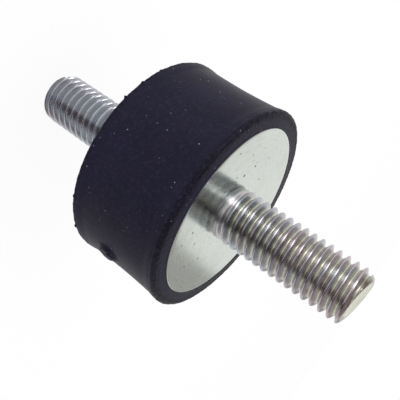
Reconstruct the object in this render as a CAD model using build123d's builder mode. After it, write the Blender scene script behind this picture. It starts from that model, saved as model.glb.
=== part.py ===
from build123d import *

import os

# Bobbin vibration mount: a waisted rubber body moulded between two steel plates,
# each plate carrying a headed M8 stud. All sizes are in millimetres.

# Rubber body
body_height = 15.0
lip_diameter = 30.7
waist_depth = 0.45
lip_bevel = 0.5
lip_relief = 0.1

# Steel plates, let into the rubber
rubber_rim = 2.3
plate_thickness = 2.0
plate_edge_break = 0.2

# Studs, M8 over the thread crests
stud_diameter = 8.0
upper_stud_length = 20.0
lower_stud_length = 20.0
tip_chamfer = 0.7
tip_cup_diameter = 4.0
tip_cup_depth = 0.4
shoulder_diameter = 9.0
head_diameter = 13.0
head_thickness = 2.0
head_edge_break = 0.4

# Sizes that follow from those above
lip_radius = lip_diameter / 2
plate_radius = lip_radius - rubber_rim
shoulder_radius = shoulder_diameter / 2
cup_radius = tip_cup_diameter / 2

# Radius of the sphere that leaves a cup of the stated width and depth in the tip
dish_radius = (cup_radius**2 + tip_cup_depth**2) / (2 * tip_cup_depth)

# The outward face of each plate. Z points out of the mount, along the stud.
lower_face = Plane(origin=(0, 0, 0), x_dir=(1, 0, 0), z_dir=(0, 0, -1))
upper_face = Plane.XY.offset(body_height)

ends = [
    ("lower", lower_face, lower_stud_length),
    ("upper", upper_face, upper_stud_length),
]

os.makedirs("parts", exist_ok=True)

steel_pieces = []

for side, face, stud_length in ends:
    outward = Axis(face.origin, face.z_dir)
    plate_back = face.offset(-plate_thickness)
    head_back = plate_back.offset(-head_thickness)
    stud_tip = face.offset(stud_length)

    # Plate: a blanked steel disc with its outer edge broken on the face that
    # seats on the machine, and a hole that the stud is pressed into.
    with BuildPart() as plate:
        with BuildSketch(plate_back):
            Circle(plate_radius)
        extrude(amount=plate_thickness)
        chamfer(plate.edges().group_by(outward)[-1], plate_edge_break)
        with Locations(face):
            Hole(shoulder_radius)
    plate.part.label = f"{side}_plate"
    export_step(plate.part, f"parts/{side}_plate.step")

    # Stud: a low round head that bears on the back of the plate, a shoulder that
    # fills the plate's hole and ends flush with its face, and a shank with a
    # chamfered tip and the shallow cup of a rolled end.
    with BuildPart() as stud:
        with BuildSketch(head_back):
            Circle(head_diameter / 2)
        extrude(amount=head_thickness)
        chamfer(stud.edges().group_by(outward)[0], head_edge_break)
        with BuildSketch(plate_back):
            Circle(shoulder_radius)
        extrude(amount=plate_thickness)
        with BuildSketch(face):
            Circle(stud_diameter / 2)
        extrude(amount=stud_length)
        chamfer(stud.edges().group_by(outward)[-1], tip_chamfer)
        with Locations(stud_tip.offset(dish_radius - tip_cup_depth)):
            Sphere(dish_radius, mode=Mode.SUBTRACT)
    stud.part.label = f"{side}_stud"
    export_step(stud.part, f"parts/{side}_stud.step")

    steel_pieces += [plate.part, stud.part]

# Rubber body: a shallow waist between two lips, whose outer corners are bevelled
# where the mould's flash is trimmed. It is moulded round the steel, so the plates
# and the stud heads leave their own form in it, and both end faces stay a little
# below the plates, which do the seating.
with BuildPart() as rubber_body:
    with BuildSketch(Plane.XZ) as half_section:
        with BuildLine():
            wall = ThreePointArc(
                (lip_radius, lip_relief),
                (lip_radius - waist_depth, body_height / 2),
                (lip_radius, body_height - lip_relief),
            )
            Polyline(wall @ 1, (0, body_height - lip_relief), (0, lip_relief), wall @ 0)
        make_face()
        chamfer(half_section.vertices().group_by(Axis.X)[-1], lip_bevel)
    revolve(axis=Axis.Z)
    add(steel_pieces, mode=Mode.SUBTRACT)
rubber_body.part.label = "rubber_body"
export_step(rubber_body.part, "parts/rubber_body.step")
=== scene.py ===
import math

import bmesh
import bpy
from mathutils import Matrix, Vector, noise


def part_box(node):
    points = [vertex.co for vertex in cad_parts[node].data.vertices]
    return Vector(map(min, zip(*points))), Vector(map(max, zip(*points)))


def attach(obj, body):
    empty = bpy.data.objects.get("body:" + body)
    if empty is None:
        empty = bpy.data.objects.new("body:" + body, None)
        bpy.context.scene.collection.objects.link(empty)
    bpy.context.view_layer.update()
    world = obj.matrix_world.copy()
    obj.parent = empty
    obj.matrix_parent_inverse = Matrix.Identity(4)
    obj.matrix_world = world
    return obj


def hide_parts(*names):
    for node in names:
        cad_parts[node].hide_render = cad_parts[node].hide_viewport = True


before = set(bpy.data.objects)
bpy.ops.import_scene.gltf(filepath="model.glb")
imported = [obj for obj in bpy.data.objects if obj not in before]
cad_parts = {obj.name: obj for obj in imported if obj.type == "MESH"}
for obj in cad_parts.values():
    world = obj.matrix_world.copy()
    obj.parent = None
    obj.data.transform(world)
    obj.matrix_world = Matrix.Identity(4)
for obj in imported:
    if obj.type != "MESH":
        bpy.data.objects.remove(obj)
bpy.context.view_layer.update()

MM = 0.001
AXIS = Vector((0, 0, 1))

# Steel plates
# Two discs blanked from 2 mm mild steel sheet and bright zinc plated. The press
# leaves their rim slightly rolled over and their hole a hair's breadth broken.
# The rubber is bonded round them, so that only the outer faces show.


def linear(code):
    """Turns an sRGB hex colour into the linear values that the shaders take."""
    channels = [int(code[i : i + 2], 16) / 255 for i in (1, 3, 5)]
    return [c / 12.92 if c <= 0.04045 else ((c + 0.055) / 1.055) ** 2.4 for c in channels] + [1.0]


def add_node(tree, kind, inputs, **settings):
    """Adds a node, with its settings, and gives each input a value or a link."""
    made = tree.nodes.new(kind)
    for key, value in settings.items():
        setattr(made, key, value)
    for key, value in inputs.items():
        if isinstance(value, bpy.types.NodeSocket):
            tree.links.new(value, made.inputs[key])
        else:
            made.inputs[key].default_value = value
    return made


def new_finish(name):
    """An empty material: its tree, its shader and the object coordinates."""
    finish = bpy.data.materials.new(name)
    finish.use_nodes = True
    tree = finish.node_tree
    shader = tree.nodes["Principled BSDF"]
    place = add_node(tree, "ShaderNodeTexCoord", {}).outputs["Object"]
    return finish, tree, shader, place


def per_metre(size):
    """Scale of a texture whose features are this many metres across."""
    return 1 / size


def from_axis(tree, place):
    """Distance of each point from the axis of the studs."""
    plan = add_node(tree, "ShaderNodeVectorMath", {0: place, 1: (1, 1, 0)}, operation="MULTIPLY")
    length = add_node(tree, "ShaderNodeVectorMath", {0: plan.outputs[0]}, operation="LENGTH")
    return length.outputs["Value"]


def spots(tree, place, spacing, empty, size, blur, strength):
    """Round spots, at most one to a cell of the spacing, and a random value for each cell."""
    cells = add_node(
        tree, "ShaderNodeTexVoronoi",
        {"Vector": place, "Scale": per_metre(spacing), "Randomness": 1.0},
    )
    picks = add_node(tree, "ShaderNodeSeparateColor", {"Color": cells.outputs["Color"]})
    reach = add_node(
        tree, "ShaderNodeMapRange",
        {"Value": picks.outputs["Red"], "From Min": empty, "From Max": 1.0, "To Min": 0.0, "To Max": size},
    )
    inside = add_node(
        tree, "ShaderNodeMath", {0: reach.outputs[0], 1: cells.outputs["Distance"]}, operation="SUBTRACT",
    )
    spot = add_node(
        tree, "ShaderNodeMapRange",
        {"Value": inside.outputs[0], "From Min": 0.0, "From Max": blur, "To Min": 0.0, "To Max": strength},
    )
    return spot.outputs[0], picks.outputs["Green"]


weld = 0.0005 * MM


def copied(bm, count, turn, lift):
    """Repeats the whole mesh, each copy turned about the axis and lifted, and joins the seams."""
    first = list(bm.verts) + list(bm.edges) + list(bm.faces)
    for i in range(1, count):
        copy = bmesh.ops.duplicate(bm, geom=first)["geom"]
        moved = [g for g in copy if isinstance(g, bmesh.types.BMVert)]
        placed = Matrix.Translation((0, 0, i * lift)) @ Matrix.Rotation(i * turn, 4, "Z")
        bmesh.ops.transform(bm, matrix=placed, verts=moved)
    bmesh.ops.remove_doubles(bm, verts=bm.verts, dist=weld)


def spun(section, sectors, sector_steps):
    """Turns a closed section of (radius, height) points into a round body, sector by sector."""
    bm = bmesh.new()
    corners = [bm.verts.new((radius, 0, height)) for radius, height in section]
    sides = [bm.edges.new(pair) for pair in zip(corners, corners[1:] + corners[:1])]
    sector = math.tau / sectors
    bmesh.ops.spin(
        bm, geom=corners + sides, cent=(0, 0, 0), axis=AXIS, dvec=(0, 0, 0),
        angle=sector, steps=sector_steps, use_merge=False, use_duplicate=False,
    )
    copied(bm, sectors, sector, 0)
    bmesh.ops.recalc_face_normals(bm, faces=bm.faces)
    return bm


def finished_piece(name, bm, finishes, node, sharp=math.radians(40)):
    """Makes the modelled mesh an object that rides with the mount and stands for its node."""
    mesh = bpy.data.meshes.new(name)
    bm.to_mesh(mesh)
    bm.free()
    mesh.shade_smooth()
    mesh.set_sharp_from_angle(angle=sharp)
    for finish in finishes:
        mesh.materials.append(finish)
    piece = bpy.data.objects.new(name, mesh)
    bpy.context.scene.collection.objects.link(piece)
    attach(piece, "root")
    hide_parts(node)
    return piece


upper_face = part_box("upper_plate")[1].z
lower_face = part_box("lower_plate")[0].z

# Each end's steel is made with its outer face at height 0, pointing up, and then stood here.
ends = {
    "upper": Matrix.Translation((0, 0, upper_face)),
    "lower": Matrix.Translation((0, 0, lower_face)) @ Matrix.Rotation(math.pi, 4, "X"),
}
middle = (upper_face + lower_face) / 2
half_height = (upper_face - lower_face) / 2
plate_thickness = upper_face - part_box("upper_plate")[0].z
plate_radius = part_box("upper_plate")[1].x
hole_radius = 4.5 * MM
rim_roll = 0.2 * MM
hole_break = 0.02 * MM
edge_droop = 0.9 * MM
plate_sectors = 12
plate_sector_steps = 16

# From the back of the disc, round its rolled rim to the hole, as (radius, height).
plate_section = [
    (hole_radius, -plate_thickness),
    (plate_radius, -plate_thickness),
    (plate_radius, -rim_roll),
    (plate_radius - rim_roll * 0.3, -rim_roll * 0.4),
    (plate_radius - rim_roll, -rim_roll * 0.15),
    (plate_radius - edge_droop * 0.6, -rim_roll * 0.05),
    (plate_radius - edge_droop, 0),
    (hole_radius + hole_break, 0),
    (hole_radius, -hole_break),
]

# Bright zinc on rolled sheet: a near mirror with a slight haze, a faint green
# cast from the passivation, dark pinholes, and fine tumbling marks that lie
# along arcs. The larger pits are grit that was caught in the plating.
bright_zinc, tree, shader, place = new_finish("bright_zinc_on_blanked_steel_sheet")
pinhole = 1.5 * MM

# Where each pit lies on the disc, x and y, and its radius, in mm.
grit_pits = (
    (-6.8, -3.0, 0.22), (-4.9, -4.3, 0.27), (-5.9, 0.9, 0.19), (-4.1, -6.0, 0.16), (-3.3, -4.9, 0.2),
    (-1.7, -6.6, 0.2), (-1.6, -5.2, 0.18), (-0.5, -9.0, 0.16), (-1.5, -8.8, 0.18), (1.1, -8.9, 0.18),
    (2.4, -7.0, 0.18), (2.5, -5.6, 0.24), (4.6, -7.8, 0.2), (7.5, -1.4, 0.18), (-6.6, -9.3, 0.15),
    (-8.9, -0.5, 0.16), (-7.6, -5.8, 0.14), (5.8, -5.2, 0.16), (6.6, -8.4, 0.15), (9.1, -3.9, 0.16),
)
arc_mark_length = 1.6 * MM
arc_mark_radius = plate_radius * 0.6
arc_mark_width = 0.16 * MM
cloud = 7.0 * MM
haze = 1.3 * MM

clouds = add_node(
    tree, "ShaderNodeTexNoise",
    {"Vector": place, "Scale": per_metre(cloud), "Detail": 3.0, "Roughness": 0.55},
)
zinc_cast = add_node(
    tree, "ShaderNodeMix",
    {0: clouds.outputs["Fac"], 6: linear("#C2C9C5"), 7: linear("#D6DDD9")},
    data_type="RGBA",
)
split = add_node(tree, "ShaderNodeSeparateXYZ", {"Vector": place})
angle_here = add_node(
    tree, "ShaderNodeMath", {0: split.outputs["Y"], 1: split.outputs["X"]}, operation="ARCTAN2",
).outputs["Value"]
arc_turn = add_node(
    tree, "ShaderNodeMath",
    {0: angle_here, 1: arc_mark_radius / arc_mark_length}, operation="MULTIPLY",
)
arc_ring = add_node(
    tree, "ShaderNodeMath",
    {0: from_axis(tree, place), 1: per_metre(arc_mark_width)}, operation="MULTIPLY",
)
arc_place = add_node(
    tree, "ShaderNodeCombineXYZ", {"X": arc_turn.outputs[0], "Y": arc_ring.outputs[0], "Z": 0.0},
)
arc_marks = add_node(
    tree, "ShaderNodeTexNoise",
    {"Vector": arc_place.outputs[0], "Scale": 1.0, "Detail": 2.0, "Roughness": 0.6},
)
arc_depth = add_node(
    tree, "ShaderNodeMapRange",
    {"Value": arc_marks.outputs["Fac"], "From Min": 0.58, "From Max": 0.72, "To Min": 0.0, "To Max": 0.85},
)
dark_spots = spots(tree, place, pinhole, empty=0.5, size=0.11, blur=0.04, strength=0.85)[0]
plan = add_node(tree, "ShaderNodeVectorMath", {0: place, 1: (1, 1, 0)}, operation="MULTIPLY")
for x, y, pit_radius in grit_pits:
    from_pit = add_node(
        tree, "ShaderNodeVectorMath", {0: plan.outputs[0], 1: (x * MM, y * MM, 0)}, operation="DISTANCE",
    )
    pit = add_node(
        tree, "ShaderNodeMapRange",
        {
            "Value": from_pit.outputs["Value"], "From Min": pit_radius * 0.6 * MM,
            "From Max": pit_radius * MM, "To Min": 0.9, "To Max": 0.0,
        },
    )
    dark_spots = add_node(
        tree, "ShaderNodeMath", {0: dark_spots, 1: pit.outputs[0]}, operation="MAXIMUM",
    ).outputs[0]
marked = add_node(
    tree, "ShaderNodeMix",
    {0: arc_depth.outputs[0], 6: zinc_cast.outputs[2], 7: linear("#A6AAA0")},
    data_type="RGBA",
)
pitted = add_node(
    tree, "ShaderNodeMix",
    {0: dark_spots, 6: marked.outputs[2], 7: linear("#26261F")},
    data_type="RGBA",
)
hazes = add_node(
    tree, "ShaderNodeTexNoise",
    {"Vector": place, "Scale": per_metre(haze), "Detail": 4.0, "Roughness": 0.6},
)
gloss = add_node(
    tree, "ShaderNodeMapRange",
    {"Value": hazes.outputs["Fac"], "From Min": 0.3, "From Max": 0.7, "To Min": 0.13, "To Max": 0.2},
)
ripple = add_node(
    tree, "ShaderNodeBump",
    {"Height": hazes.outputs["Fac"], "Strength": 0.25, "Distance": 0.01 * MM},
)
shader.inputs["Metallic"].default_value = 1.0
tree.links.new(pitted.outputs[2], shader.inputs["Base Color"])
tree.links.new(gloss.outputs[0], shader.inputs["Roughness"])
tree.links.new(ripple.outputs[0], shader.inputs["Normal"])

for side, standing in ends.items():
    bm = spun(plate_section, plate_sectors, plate_sector_steps)
    bmesh.ops.transform(bm, matrix=standing, verts=bm.verts)
    finished_piece(f"{side}_plate_disc", bm, [bright_zinc], f"{side}_plate")

# Studs
# M8 x 1.25 machine studs, cold headed from steel wire with the thread rolled on
# and then bright zinc plated. Each is pressed through its plate from behind, so
# that head and shoulder are out of sight. The wire was sheared off a little askew.


def above_middle(tree, place):
    """Height of each point above the middle of the mount."""
    upright = add_node(tree, "ShaderNodeSeparateXYZ", {"Vector": place})
    return add_node(
        tree, "ShaderNodeMath", {0: upright.outputs["Z"], 1: middle}, operation="SUBTRACT",
    ).outputs[0]


thread_pitch = 1.25 * MM
crest_radius = 3.97 * MM
root_radius = 3.2 * MM
crest_sharpness = 2.2
collar_radius = 3.8 * MM
run_out = 1.1 * MM
stud_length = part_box("upper_stud")[1].z - upper_face
head_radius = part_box("upper_stud")[1].x
head_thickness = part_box("upper_plate")[0].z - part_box("upper_stud")[0].z
shoulder_radius = hole_radius
tip_radius = {"upper": 3.0 * MM, "lower": 3.48 * MM}
tip_length = {"upper": 1.5 * MM, "lower": 1.0 * MM}
tip_shift = {"upper": 0.42 * MM, "lower": 0.0}
thread_steps = 128
thread_points = 24
thread_phase = {"upper": math.radians(94), "lower": math.radians(-84)}
shear_side = {"upper": math.radians(-20), "lower": math.radians(-90)}
shear_slope = {"upper": math.tan(math.radians(6.5)), "lower": math.tan(math.radians(2))}
shear_margin = 0.1 * MM

# The shallow dish that shearing leaves in the end, as (radius, depth) in mm, and its torn skin.
end_dish = ((2.7, 0.0), (2.3, 0.02), (1.8, 0.06), (1.2, 0.13), (0.7, 0.18), (0.25, 0.2))
torn_end_radius = 2.8 * MM
torn_end_reach = 0.45 * MM
torn_end_depth = 0.1 * MM
torn_end_grain = 1.1 * MM


def clamped(share):
    """A share kept between 0 and 1."""
    return min(max(share, 0.0), 1.0)


def eased(share):
    """A share that leaves 0 and reaches 1 gently."""
    share = clamped(share)
    return share * share * (3 - 2 * share)


def thread_radius(share):
    """Radius at a share of the pitch: a wide round root at 0 and 1, a narrow round crest at 0.5."""
    return root_radius + (crest_radius - root_radius) * math.sin(math.pi * share) ** crest_sharpness


def extended(bm, loop, radius, height, lean=Vector((0, 0, 0))):
    """Extrudes an open round edge to a new radius and a height that may lean, and returns its new edge."""
    grown = bmesh.ops.extrude_edge_only(bm, edges=loop)["geom"]
    for vert in (g for g in grown if isinstance(g, bmesh.types.BMVert)):
        flat = Vector((vert.co.x, vert.co.y, 0)).normalized() * radius
        vert.co = (flat.x, flat.y, height + lean.dot(flat))
    return [g for g in grown if isinstance(g, bmesh.types.BMEdge) and g.is_boundary]


def threaded_stud(side):
    """A stud that points up from a plate face at height 0, its end a little lower and fuller on one side."""
    lower_way = Vector((math.cos(shear_side[side]), math.sin(shear_side[side]), 0))
    lean = -lower_way * shear_slope[side]
    reach = tip_radius[side]
    tip_height = stud_length - shear_slope[side] * (reach + shear_margin)
    bm = bmesh.new()

    # One turn of thread, repeated to run past both ends of the stud, where it is then cut.
    below = -2 * thread_pitch
    turns = math.ceil((stud_length - below) / thread_pitch) + 2
    shares = [i / thread_points for i in range(thread_points + 1)]
    line = [bm.verts.new((thread_radius(s), 0, below + s * thread_pitch)) for s in shares]
    links = [bm.edges.new(pair) for pair in zip(line, line[1:])]
    bmesh.ops.spin(
        bm, geom=line + links, cent=(0, 0, 0), axis=AXIS,
        dvec=(0, 0, thread_pitch / thread_steps), angle=math.tau,
        steps=thread_steps, use_merge=False, use_duplicate=False,
    )
    copied(bm, turns, 0, thread_pitch)
    turned = Matrix.Rotation(thread_phase[side], 3, "Z")
    bmesh.ops.rotate(bm, verts=bm.verts, cent=(0, 0, 0), matrix=turned)

    # The thread runs out into a plain collar beside the plate.
    for vert in bm.verts:
        radius = math.hypot(vert.co.x, vert.co.y)
        wanted = collar_radius + (radius - collar_radius) * eased(vert.co.z / run_out)
        vert.co.x *= wanted / radius
        vert.co.y *= wanted / radius

        # The tip's rounded chamfer, set off towards the fuller side.
        end_height = tip_height + lean.dot(vert.co)
        from_tip = clamped((end_height - vert.co.z) / tip_length[side])
        tip_middle = lower_way * tip_shift[side] * (1 - from_tip)
        allowed = reach + (crest_radius - reach) * math.sqrt(1 - (1 - from_tip) ** 2)
        sideways = Vector((vert.co.x, vert.co.y, 0)) - tip_middle
        if sideways.length > allowed:
            vert.co -= sideways * (1 - allowed / sideways.length)

    for height, outward in ((0, -AXIS), (tip_height, AXIS - lean)):
        everything = list(bm.verts) + list(bm.edges) + list(bm.faces)
        bmesh.ops.bisect_plane(
            bm, geom=everything, plane_co=(0, 0, height), plane_no=outward, clear_outer=True,
        )

    edges = [e for e in bm.edges if e.is_boundary]
    base = [e for e in edges if e.verts[0].co.z < stud_length / 2]
    tip = [e for e in edges if e.verts[0].co.z > stud_length / 2]

    # The shoulder in the plate's hole and the low round head behind the plate.
    for radius, height in (
        (shoulder_radius - hole_break, 0),
        (shoulder_radius, -hole_break),
        (shoulder_radius, -plate_thickness),
        (head_radius, -plate_thickness),
        (head_radius, -plate_thickness - head_thickness * 0.8),
        (head_radius * 0.94, -plate_thickness - head_thickness),
        (head_radius * 0.4, -plate_thickness - head_thickness),
    ):
        base = extended(bm, base, radius, height)
    bmesh.ops.holes_fill(bm, edges=base, sides=0)

    for radius, depth in end_dish:
        tip = extended(bm, tip, radius * MM, tip_height - depth * MM, lean)
    bmesh.ops.holes_fill(bm, edges=tip, sides=0)
    bmesh.ops.recalc_face_normals(bm, faces=bm.faces)

    for vert in bm.verts:
        below_end = tip_height + lean.dot(vert.co) - vert.co.z
        if below_end < torn_end_reach and math.hypot(vert.co.x, vert.co.y) < torn_end_radius:
            vert.co.z += torn_end_depth * min(0, noise.noise(vert.co / torn_end_grain) - 0.1)

    # The shoulder's end is plated in one with the face of the plate.
    for face in bm.faces:
        centre = face.calc_center_median()
        if abs(centre.z) < hole_break and math.hypot(centre.x, centre.y) > collar_radius:
            face.material_index = 1
    return bm


# Bright zinc over a rolled thread. The dies polish the flanks, whose film turns
# from blue grey near the plate to a faint purple at the tip. The roots are duller
# and greener, with brown grime and black specks. The film and the root colours are
# weaker on the lower stud. The ring where the thread runs out is painted paler, a
# painted highlight, the upper chamfer has dark brown patches and the ends are pale.
thread_zinc, tree, shader, place = new_finish("bright_zinc_on_rolled_thread")
film = 2.6 * MM
grime = 1.2 * MM
speck = 1.1 * MM
grime_full = 0.12 * MM
grime_top = 0.42 * MM
collar_highlight_full = 0.4 * MM
brown_patch_top = 0.8 * MM
brown_patch_foot = 1.5 * MM
pale_end = 2.5 * MM
pale_end_edge = 2.8 * MM

radius_here = from_axis(tree, place)
height_here = above_middle(tree, place)
from_middle = add_node(tree, "ShaderNodeMath", {0: height_here}, operation="ABSOLUTE").outputs[0]
tip_reach = half_height + stud_length

films = add_node(
    tree, "ShaderNodeTexNoise",
    {"Vector": place, "Scale": per_metre(film), "Detail": 2.0, "Roughness": 0.5},
)
uneven = add_node(
    tree, "ShaderNodeMath", {0: films.outputs["Fac"], 1: 2.4, 2: -1.2}, operation="MULTIPLY_ADD",
)
along_stud = add_node(
    tree, "ShaderNodeMapRange",
    {
        "Value": from_middle, "From Min": half_height, "From Max": tip_reach,
        "To Min": 0.1, "To Max": 1.0,
    },
)
# The film and the root colours are weaker on the lower stud.
weaker_on_lower_stud = add_node(
    tree, "ShaderNodeMapRange",
    {
        "Value": height_here, "From Min": -half_height, "From Max": half_height,
        "To Min": 0.35, "To Max": 1.0,
    },
)
film_here = add_node(
    tree, "ShaderNodeMath", {0: along_stud.outputs[0], 1: uneven.outputs[0]}, operation="ADD",
)
brown_film = add_node(
    tree, "ShaderNodeMath", {0: film_here.outputs[0], 1: weaker_on_lower_stud.outputs[0]}, operation="MULTIPLY",
)
flank = add_node(
    tree, "ShaderNodeMix",
    {0: brown_film.outputs[0], 6: linear("#ACB4BE"), 7: linear("#B8AEB4")},
    data_type="RGBA",
)
dirt = add_node(
    tree, "ShaderNodeTexNoise",
    {"Vector": place, "Scale": per_metre(grime), "Detail": 2.0, "Roughness": 0.55},
)
dirty = add_node(
    tree, "ShaderNodeMapRange",
    {"Value": dirt.outputs["Fac"], "From Min": 0.45, "From Max": 0.7, "To Min": 0.0, "To Max": 0.6},
)
root = add_node(
    tree, "ShaderNodeMix",
    {0: dirty.outputs[0], 6: linear("#C3C3B8"), 7: linear("#988A83")},
    data_type="RGBA",
)
in_root = add_node(
    tree, "ShaderNodeMapRange",
    {
        "Value": radius_here, "From Min": root_radius + grime_full, "From Max": root_radius + grime_top,
        "To Min": 1.0, "To Max": 0.0,
    },
)
root_share = add_node(
    tree, "ShaderNodeMath", {0: in_root.outputs[0], 1: weaker_on_lower_stud.outputs[0]}, operation="MULTIPLY",
)
rolled = add_node(
    tree, "ShaderNodeMix",
    {0: root_share.outputs[0], 6: flank.outputs[2], 7: root.outputs[2]},
    data_type="RGBA",
)
# A painted highlight: the ring where the thread runs out is painted paler and pinker.
on_collar = add_node(
    tree, "ShaderNodeMapRange",
    {
        "Value": from_middle, "From Min": half_height + collar_highlight_full,
        "From Max": half_height + run_out, "To Min": 0.55, "To Max": 0.0,
    },
)
with_collar_highlight = add_node(
    tree, "ShaderNodeMix",
    {0: on_collar.outputs[0], 6: rolled.outputs[2], 7: linear("#CBC4C6")},
    data_type="RGBA",
)
# Dark brown patches on the chamfer of the upper stud, near its tip.
near_tip = add_node(
    tree, "ShaderNodeMapRange",
    {
        "Value": height_here, "From Min": tip_reach - brown_patch_foot, "From Max": tip_reach - brown_patch_top,
        "To Min": 0.0, "To Max": 0.3,
    },
)
brown_patches = add_node(
    tree, "ShaderNodeMapRange",
    {"Value": dirt.outputs["Fac"], "From Min": 0.4, "From Max": 0.6, "To Min": 0.0, "To Max": 1.0},
)
brown_patch_share = add_node(
    tree, "ShaderNodeMath", {0: near_tip.outputs[0], 1: brown_patches.outputs[0]}, operation="MULTIPLY",
)
with_brown_patches = add_node(
    tree, "ShaderNodeMix",
    {0: brown_patch_share.outputs[0], 6: with_collar_highlight.outputs[2], 7: linear("#655A5E")},
    data_type="RGBA",
)
on_end = add_node(
    tree, "ShaderNodeMapRange",
    {
        "Value": radius_here, "From Min": pale_end, "From Max": pale_end_edge,
        "To Min": 1.0, "To Max": 0.0,
    },
)
sheared = add_node(
    tree, "ShaderNodeMix",
    {0: on_end.outputs[0], 6: with_brown_patches.outputs[2], 7: linear("#D8DAC8")},
    data_type="RGBA",
)
specks = spots(tree, place, speck, empty=0.7, size=0.22, blur=0.05, strength=0.75)[0]
root_specks = add_node(
    tree, "ShaderNodeMath", {0: specks, 1: in_root.outputs[0]}, operation="MULTIPLY",
)
specked = add_node(
    tree, "ShaderNodeMix",
    {0: root_specks.outputs[0], 6: sheared.outputs[2], 7: linear("#22201E")},
    data_type="RGBA",
)
dull_here = add_node(
    tree, "ShaderNodeMath",
    {0: on_collar.outputs[0], 1: 2.0, 2: in_root.outputs[0]}, operation="MULTIPLY_ADD",
)
gloss = add_node(
    tree, "ShaderNodeMapRange",
    {"Value": dull_here.outputs[0], "From Min": 0.0, "From Max": 2.0, "To Min": 0.235, "To Max": 0.34},
)
rolled_grain = add_node(
    tree, "ShaderNodeBump",
    {"Height": films.outputs["Fac"], "Strength": 0.2, "Distance": 0.02 * MM},
)
shader.inputs["Metallic"].default_value = 1.0
tree.links.new(specked.outputs[2], shader.inputs["Base Color"])
tree.links.new(gloss.outputs[0], shader.inputs["Roughness"])
tree.links.new(rolled_grain.outputs[0], shader.inputs["Normal"])

studs = {}
for side, standing in ends.items():
    bm = threaded_stud(side)
    bmesh.ops.transform(bm, matrix=standing, verts=bm.verts)
    zincs = [thread_zinc, bright_zinc]
    studs[side] = finished_piece(f"{side}_stud_rolled", bm, zincs, f"{side}_stud")

# Rubber body
# Black natural rubber, compression moulded and bonded round both plates. The
# wall draws in to a shallow waist; each end has a lip whose outer band was torn
# and trimmed with the flash, and a smoother ring moulded flat beside the steel.

lip_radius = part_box("rubber_body")[1].x
waist_radius = 14.9 * MM
wall_flare = 0.24 * MM
lip_margin = 0.03 * MM
lip_flare = lip_radius - waist_radius - wall_flare - lip_margin
lip_rise = 1.1 * MM
lip_relief = 0.1 * MM
corner_height = 0.62 * MM
corner_inset = 0.72 * MM
ring_rise = 0.06 * MM
ring_gap = 0.08 * MM
lap = 0.12 * MM
lap_height = 0.012 * MM
lap_depth = 0.25 * MM
trim_radius = 14.2 * MM
rubber_sectors = 20
rubber_sector_steps = 45
wall_top = half_height - corner_height
wall_rows = 44
lip_rows = 10
trim_rows = 3
ring_rows = 5


def wall_radius(height):
    """Radius of the wall at a height above or below the middle."""
    share = abs(height) / half_height
    near_lip = eased((abs(height) - half_height + 2 * lip_rise) / lip_rise)
    return waist_radius + wall_flare * share**1.5 + lip_flare * near_lip


def end_rows():
    """One end's section from the top of the wall to the axis, heights above the middle."""
    rows = []
    top = half_height - lip_relief
    for i in range(1, lip_rows + 1):
        turn = math.pi / 2 * i / lip_rows
        inset = corner_inset * (1 - math.cos(turn))
        rows.append((wall_radius(wall_top) - inset, wall_top + (top - wall_top) * math.sin(turn)))
    edge = rows[-1][0]
    for i in range(1, trim_rows + 1):
        rows.append((edge + (trim_radius - edge) * i / trim_rows, top))
    for i in range(1, ring_rows + 1):
        share = i / ring_rows
        radius = trim_radius + (plate_radius + ring_gap - trim_radius) * share
        rows.append((radius, top + ring_rise * share))
    rows += [
        (plate_radius - lap, half_height + lap_height),
        (plate_radius, half_height - lap_depth),
        (plate_radius, half_height - plate_thickness),
        (head_radius, half_height - plate_thickness),
        (head_radius, half_height - plate_thickness - head_thickness),
    ]
    return rows


wall = [wall_top * (2 * i / wall_rows - 1) for i in range(wall_rows + 1)]
upper_end = end_rows()
section = [(wall_radius(h), h) for h in wall]
section += upper_end
section += [(0.0, upper_end[-1][1]), (0.0, -upper_end[-1][1])]
section += [(radius, -height) for radius, height in reversed(upper_end)]
section = [(radius, height + middle) for radius, height in section]
bm = spun(section, rubber_sectors, rubber_sector_steps)

gate_angle = math.radians(-27.5)
gate_height = 6.3 * MM
gate_radius = 1.4 * MM
gate_stand = 0.5 * MM

# The flat of its stand, the width of its edge and its whole reach, as shares of its radius.
gate_flat, gate_edge, gate_reach = 0.75, 0.4, 1.4

# A torn hollow and a shallow dip in the gate's stand: sideways, up, radius and depth.
gate_dents = (
    (-0.6 * MM, 0.6 * MM, 0.4 * MM, 0.6 * MM),
    (-0.3 * MM, -0.25 * MM, 0.8 * MM, 0.09 * MM),
)

# Shreds of flash: the angle round the lip and how far each stands out.
flash_nubs = (
    (math.radians(-107.3), 0.45 * MM), (math.radians(-118.6), 0.25 * MM),
    (math.radians(-131.0), 0.15 * MM), (math.radians(-52.0), 0.15 * MM),
    (math.radians(-31.0), 0.25 * MM),
)
nub_width = 0.55 * MM
nub_height = 0.6 * MM
nub_inset = 0.5 * MM

# How far the surface moves, and the grain in mm of the noise that moves it.
wave_depth, wave_grain = 0.035 * MM, 5.0
coarse_tear_depth, coarse_tear_grain = 0.05 * MM, 0.9
fine_tear_depth, fine_tear_grain = 0.04 * MM, 0.3
sink_depth, sink_grain = 0.05 * MM, 0.45
sink_shift = Vector((9, 0, 0))
torn_height = 1.0 * MM
torn_fade = 0.5 * MM
trim_fade = 0.15 * MM

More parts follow.
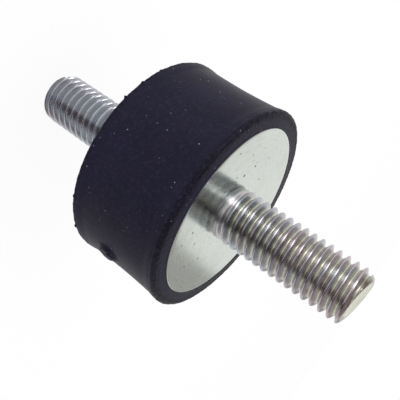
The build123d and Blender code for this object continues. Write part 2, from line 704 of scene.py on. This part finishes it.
for vert in bm.verts:
    radius = math.hypot(vert.co.x, vert.co.y)

    # The thin lap on the plate, and what lies behind it, stay even.
    if radius < plate_radius - lap / 2:
        continue
    outward = Vector((vert.co.x, vert.co.y, 0)) / radius
    height = vert.co.z - middle
    turn = math.atan2(vert.co.y, vert.co.x)
    from_end = half_height - abs(height)
    spot = vert.co / MM

    # The whole wall is very slightly uneven, as demoulded rubber is.
    push = wave_depth * noise.noise(spot / wave_grain)

    # Torn and trimmed band round the lip.
    torn = clamped((torn_height - from_end) / torn_fade) * clamped((radius - trim_radius) / trim_fade)
    push += torn * coarse_tear_depth * noise.noise(spot / coarse_tear_grain)
    push += torn * fine_tear_depth * noise.noise(spot / fine_tear_grain)
    sink = torn * sink_depth * (noise.noise(spot / sink_grain + sink_shift) - 0.25)

    # Shreds of flash left on the lower edge.
    if height < 0 and from_end < nub_height and radius > trim_radius + nub_inset:
        for nub_angle, nub_length in flash_nubs:
            apart = abs(math.remainder(turn - nub_angle, math.tau)) * radius
            push += nub_length * max(0.0, 1 - apart / (nub_width / 2)) ** 2

    # Vestige of the gate: a low round stand, dented where the sprue tore off.
    sideways = math.remainder(turn - gate_angle, math.tau) * radius
    rise = vert.co.z - gate_height
    from_gate = math.hypot(sideways, rise) / gate_radius
    if from_gate < gate_reach:
        push += gate_stand * (1 - clamped((from_gate - gate_flat) / gate_edge))
        for dent_side, dent_rise, dent_radius, dent_depth in gate_dents:
            from_dent = math.hypot(sideways - dent_side, rise - dent_rise) / dent_radius
            push -= dent_depth * max(0.0, 1 - from_dent)

    vert.co += outward * push
    vert.co.z -= math.copysign(sink, height)

# Moulded black rubber: a soft, slightly blue black, cloudy with bloom and dotted
# with mould dust. The torn band is darker and rough, and the ring that was moulded
# flat beside the steel is smoother and paler.
moulded_rubber, tree, shader, place = new_finish("black_natural_rubber_moulded")
bloom = 5.0 * MM
mottle = 0.5 * MM
rubber_grain = 0.28 * MM
tear = 0.5 * MM
dust = 0.65 * MM
band_raggedness = 0.4 * MM
band_foot = 0.95 * MM
band_full = 0.75 * MM
ring_full = 0.1 * MM
ring_edge = 0.05 * MM

blooms = add_node(
    tree, "ShaderNodeTexNoise",
    {"Vector": place, "Scale": per_metre(bloom), "Detail": 3.0, "Roughness": 0.55},
)
bloomed = add_node(
    tree, "ShaderNodeMix",
    {0: blooms.outputs["Fac"], 6: linear("#0F0D1C"), 7: linear("#1D1B30")},
    data_type="RGBA",
)
mottles = add_node(
    tree, "ShaderNodeTexNoise",
    {"Vector": place, "Scale": per_metre(mottle), "Detail": 4.0, "Roughness": 0.7},
)
mottle_share = add_node(
    tree, "ShaderNodeMapRange",
    {"Value": mottles.outputs["Fac"], "From Min": 0.5, "From Max": 0.75, "To Min": 0.0, "To Max": 0.4},
)
mottled = add_node(
    tree, "ShaderNodeMix",
    {0: mottle_share.outputs[0], 6: bloomed.outputs[2], 7: linear("#343244")},
    data_type="RGBA",
)

from_middle = add_node(
    tree, "ShaderNodeMath", {0: above_middle(tree, place)}, operation="ABSOLUTE",
).outputs[0]
tears = add_node(
    tree, "ShaderNodeTexNoise",
    {"Vector": place, "Scale": per_metre(tear), "Detail": 4.0, "Roughness": 0.7},
)
ragged = add_node(
    tree, "ShaderNodeMath",
    {0: tears.outputs["Fac"], 1: 2 * band_raggedness, 2: -band_raggedness}, operation="MULTIPLY_ADD",
)
ragged_height = add_node(
    tree, "ShaderNodeMath", {0: from_middle, 1: ragged.outputs[0]}, operation="ADD",
)
in_band = add_node(
    tree, "ShaderNodeMapRange",
    {
        "Value": ragged_height.outputs[0], "From Min": half_height - band_foot,
        "From Max": half_height - band_full, "To Min": 0.0, "To Max": 1.0,
    },
)
torn_depth = add_node(
    tree, "ShaderNodeMapRange",
    {"Value": tears.outputs["Fac"], "From Min": 0.35, "From Max": 0.6, "To Min": 1.0, "To Max": 0.15},
)
torn_share = add_node(
    tree, "ShaderNodeMath", {0: in_band.outputs[0], 1: torn_depth.outputs[0]}, operation="MULTIPLY",
)
torn = add_node(
    tree, "ShaderNodeMix",
    {0: torn_share.outputs[0], 6: mottled.outputs[2], 7: linear("#0C0A12")},
    data_type="RGBA",
)
on_ring = add_node(
    tree, "ShaderNodeMapRange",
    {
        "Value": from_axis(tree, place), "From Min": trim_radius - ring_full,
        "From Max": trim_radius + ring_edge, "To Min": 0.8, "To Max": 0.0,
    },
)
ringed = add_node(
    tree, "ShaderNodeMix",
    {0: on_ring.outputs[0], 6: torn.outputs[2], 7: linear("#1F1C30")},
    data_type="RGBA",
)

# Few of the grains are pale: the cube of an even spread is mostly small.
speck_of_dust, dust_pick = spots(tree, place, dust, empty=0.2, size=0.18, blur=0.05, strength=1.0)
dust_pale = add_node(tree, "ShaderNodeMath", {0: dust_pick, 1: 3.0}, operation="POWER")
grains = add_node(
    tree, "ShaderNodeMath", {0: speck_of_dust, 1: dust_pale.outputs[0]}, operation="MULTIPLY",
)
dusted = add_node(
    tree, "ShaderNodeMix",
    {0: grains.outputs[0], 6: ringed.outputs[2], 7: linear("#78788C")},
    data_type="RGBA",
)
grain = add_node(
    tree, "ShaderNodeTexNoise",
    {"Vector": place, "Scale": per_metre(rubber_grain), "Detail": 4.0, "Roughness": 0.65},
)
skin = add_node(
    tree, "ShaderNodeBump",
    {"Height": grain.outputs["Fac"], "Strength": 0.5, "Distance": 0.02 * MM},
)
torn_relief = add_node(
    tree, "ShaderNodeMath", {0: tears.outputs["Fac"], 1: in_band.outputs[0]}, operation="MULTIPLY",
)
torn_skin = add_node(
    tree, "ShaderNodeBump",
    {"Height": torn_relief.outputs[0], "Strength": 0.6, "Distance": 0.12 * MM, "Normal": skin.outputs[0]},
)
shader.inputs["Roughness"].default_value = 0.55
shader.inputs["IOR"].default_value = 1.52
shader.inputs["Specular IOR Level"].default_value = 0.095
shader.inputs["Sheen Weight"].default_value = 0.12
shader.inputs["Sheen Roughness"].default_value = 0.3
tree.links.new(dusted.outputs[2], shader.inputs["Base Color"])
tree.links.new(torn_skin.outputs[0], shader.inputs["Normal"])

finished_piece("rubber_body_moulded", bm, [moulded_rubber], "rubber_body", math.radians(60))

# Floor
# A plain white sheet under the tip of the lower stud. The camera, metal and
# glass see it as the white background, and it keeps the shadow of the mount.

floor_size = 1.2
paper_glow = 0.9
stud_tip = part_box("lower_stud")[0].z
bm = bmesh.new()
bmesh.ops.create_grid(bm, x_segments=1, y_segments=1, size=floor_size / 2)
bmesh.ops.translate(bm, verts=bm.verts, vec=(0, 0, stud_tip))
mesh = bpy.data.meshes.new("floor")
bm.to_mesh(mesh)
bm.free()
floor = bpy.data.objects.new("floor", mesh)
bpy.context.scene.collection.objects.link(floor)

white_sheet, tree, shader, place = new_finish("matt_white_paper_sheet")
shader.inputs["Base Color"].default_value = linear("#F2F2F2")
shader.inputs["Roughness"].default_value = 0.9
shader.inputs["Specular IOR Level"].default_value = 0.0
rays = add_node(tree, "ShaderNodeLightPath", {})
seen = add_node(
    tree, "ShaderNodeMath",
    {0: rays.outputs["Is Camera Ray"], 1: rays.outputs["Is Glossy Ray"]}, operation="MAXIMUM",
)
seen = add_node(
    tree, "ShaderNodeMath",
    {0: seen.outputs[0], 1: rays.outputs["Is Transmission Ray"]}, operation="MAXIMUM",
)
glow_share = add_node(
    tree, "ShaderNodeMath", {0: seen.outputs[0], 1: paper_glow}, operation="MULTIPLY",
)
glow = add_node(tree, "ShaderNodeEmission", {"Color": (1, 1, 1, 1), "Strength": 1.0})
blend = add_node(
    tree, "ShaderNodeMixShader",
    {0: glow_share.outputs[0], 1: shader.outputs[0], 2: glow.outputs[0]},
)
output = tree.nodes["Material Output"]
tree.links.new(blend.outputs[0], output.inputs["Surface"])
floor.data.materials.append(white_sheet)

# World
# A plain soft studio: an even fill, a white horizon and a grey ceiling that the
# metal reflects, and white where the camera sees it.

world = bpy.data.worlds.new("soft_studio")
bpy.context.scene.world = world
world.use_nodes = True
tree = world.node_tree
fill_strength = 0.95
horizon_top = 0.42
ceiling_edge = 0.66
rays = add_node(tree, "ShaderNodeLightPath", {})
skyward = add_node(tree, "ShaderNodeTexCoord", {}).outputs["Generated"]
climb = add_node(tree, "ShaderNodeSeparateXYZ", {"Vector": skyward})
overhead = add_node(
    tree, "ShaderNodeMapRange",
    {
        "Value": climb.outputs["Z"], "From Min": horizon_top, "From Max": ceiling_edge,
        "To Min": 0.0, "To Max": 1.0,
    },
)
metal_sees = add_node(
    tree, "ShaderNodeMix",
    {0: overhead.outputs[0], 6: linear("#FFFFFB"), 7: linear("#9E928F")},
    data_type="RGBA",
)
in_metal = add_node(
    tree, "ShaderNodeMix",
    {0: rays.outputs["Is Glossy Ray"], 6: [fill_strength] * 3 + [1.0], 7: metal_sees.outputs[2]},
    data_type="RGBA",
)
seen = add_node(
    tree, "ShaderNodeMath",
    {0: rays.outputs["Is Camera Ray"], 1: rays.outputs["Is Transmission Ray"]}, operation="MAXIMUM",
)
around = add_node(
    tree, "ShaderNodeMix",
    {0: seen.outputs[0], 6: in_metal.outputs[2], 7: (1, 1, 1, 1)},
    data_type="RGBA",
)
backdrop = tree.nodes["Background"]
backdrop.inputs["Strength"].default_value = 1.0
tree.links.new(around.outputs[2], backdrop.inputs["Color"])

# Found by rays from the surfaces alone, so that metal never takes the fill for its reflection.
world.cycles.sampling_method = "NONE"

# Lamps and flags
# A strip softbox that leans over on the left in front, and a second one behind on
# the left for the lower stud alone. A felt flag, grey cards and a brown card close
# to each stud, which the metal alone sees, give the zinc its dark bands.


def placed(height, towards, distance, along):
    """Stands a thing off from a point of the axis, faces it there and lays its length along a line."""
    backwards = Vector(towards).normalized()
    sideways = Vector(along).cross(backwards).normalized()
    turn = Matrix((sideways, backwards.cross(sideways), backwards)).transposed().to_4x4()
    return Matrix.Translation(AXIS * height + backwards * distance) @ turn


def strip_softbox(name, power, towards, distance, along, width, length, link_state):
    """A long lamp that lights the lower stud alone (INCLUDE) or everything else (EXCLUDE)."""
    lamp = bpy.data.lights.new(name, "AREA")
    lamp.shape = "RECTANGLE"
    lamp.size = width
    lamp.size_y = length
    lamp.energy = power
    stand = bpy.data.objects.new(name, lamp)
    stand.matrix_world = placed(middle, towards, distance, along)
    bpy.context.scene.collection.objects.link(stand)
    lit = bpy.data.collections.new(f"{name}_lights")
    lit.objects.link(studs["lower"])
    lit.collection_objects[0].light_linking.link_state = link_state
    stand.light_linking.receiver_collection = lit


strip_softbox("key_strip", 1.1, (-0.62, -0.57, 0.52), 0.40, (0.20, 0.48, 0.855), 0.15, 0.80, "EXCLUDE")
strip_softbox("low_strip", 0.3, (-0.87, 0.31, 0.38), 0.40, AXIS, 0.13, 0.17, "INCLUDE")


def flag(name, shade, height, towards, distance, along, width, length):
    """A card of an even shade that only the metal sees."""
    felt, tree, shader, place = new_finish(name)
    shader.inputs["Base Color"].default_value = linear("#000000")
    shader.inputs["Specular IOR Level"].default_value = 0.0
    shader.inputs["Emission Color"].default_value = linear(shade)
    shader.inputs["Emission Strength"].default_value = 1.0
    bm = bmesh.new()
    bmesh.ops.create_grid(bm, x_segments=1, y_segments=1, size=0.5)
    bmesh.ops.scale(bm, vec=(width, length, 1), verts=bm.verts)
    bmesh.ops.transform(bm, matrix=placed(height, towards, distance, along), verts=bm.verts)
    mesh = bpy.data.meshes.new(name)
    bm.to_mesh(mesh)
    bm.free()
    mesh.materials.append(felt)
    card = bpy.data.objects.new(name, mesh)
    bpy.context.scene.collection.objects.link(card)
    card.visible_camera = False
    card.visible_diffuse = False
    card.visible_shadow = False


# For each: its shade, height, direction, distance and lie, and its width and length. The
# two brown cards stand beside the middle of a stud, so close that no floor shows past them.
by_stud = 12 * MM
by_low_stud = -10.5 * MM
flag("black_felt_flag", "#4C4648", middle, (0.64, -0.45, 0.62), 0.30, (-0.21, 0.42, 0.88), 0.15, 0.44)
flag("brown_card_by_stud", "#6C6268", by_stud, (0.624, -0.782, 0), 0.05, AXIS, 0.034, 0.046)
flag("brown_card_by_low_stud", "#7A6E70", by_low_stud, (0.548, -0.836, 0), 0.0104, AXIS, 0.0072, 0.019)
flag("grey_card", "#B4B2AE", middle, (0.26, 0.90, 0.38), 0.30, AXIS, 0.07, 0.16)
flag("low_grey_card", "#B0B0B4", middle, (0, -0.93, -0.37), 0.06, (0, -0.37, 0.93), 0.024, 0.05)

# Camera
# Near the upper stud's height and turned well over on its side, so that the
# mount lies across the picture with its upper stud to the lower right.

camera_place = Vector((-0.94, -71.51, 41.18)) * MM
camera_aim = Vector((0.975, 0.0, 9.90)) * MM
camera_roll = math.radians(124.84)
focal_pixels = 563.5
picture_width = 400
lens = bpy.data.cameras.new("camera")
lens.sensor_width = 36.0
lens.lens = focal_pixels / picture_width * lens.sensor_width
lens.clip_start = 0.005
lens.clip_end = 10.0
camera = bpy.data.objects.new("camera", lens)
level = (camera_aim - camera_place).to_track_quat("-Z", "Y").to_matrix().to_4x4()
camera.matrix_world = Matrix.Translation(camera_place) @ level @ Matrix.Rotation(camera_roll, 4, "Z")
bpy.context.scene.collection.objects.link(camera)
bpy.context.scene.camera = camera

bpy.context.scene.view_settings.view_transform = "Standard"
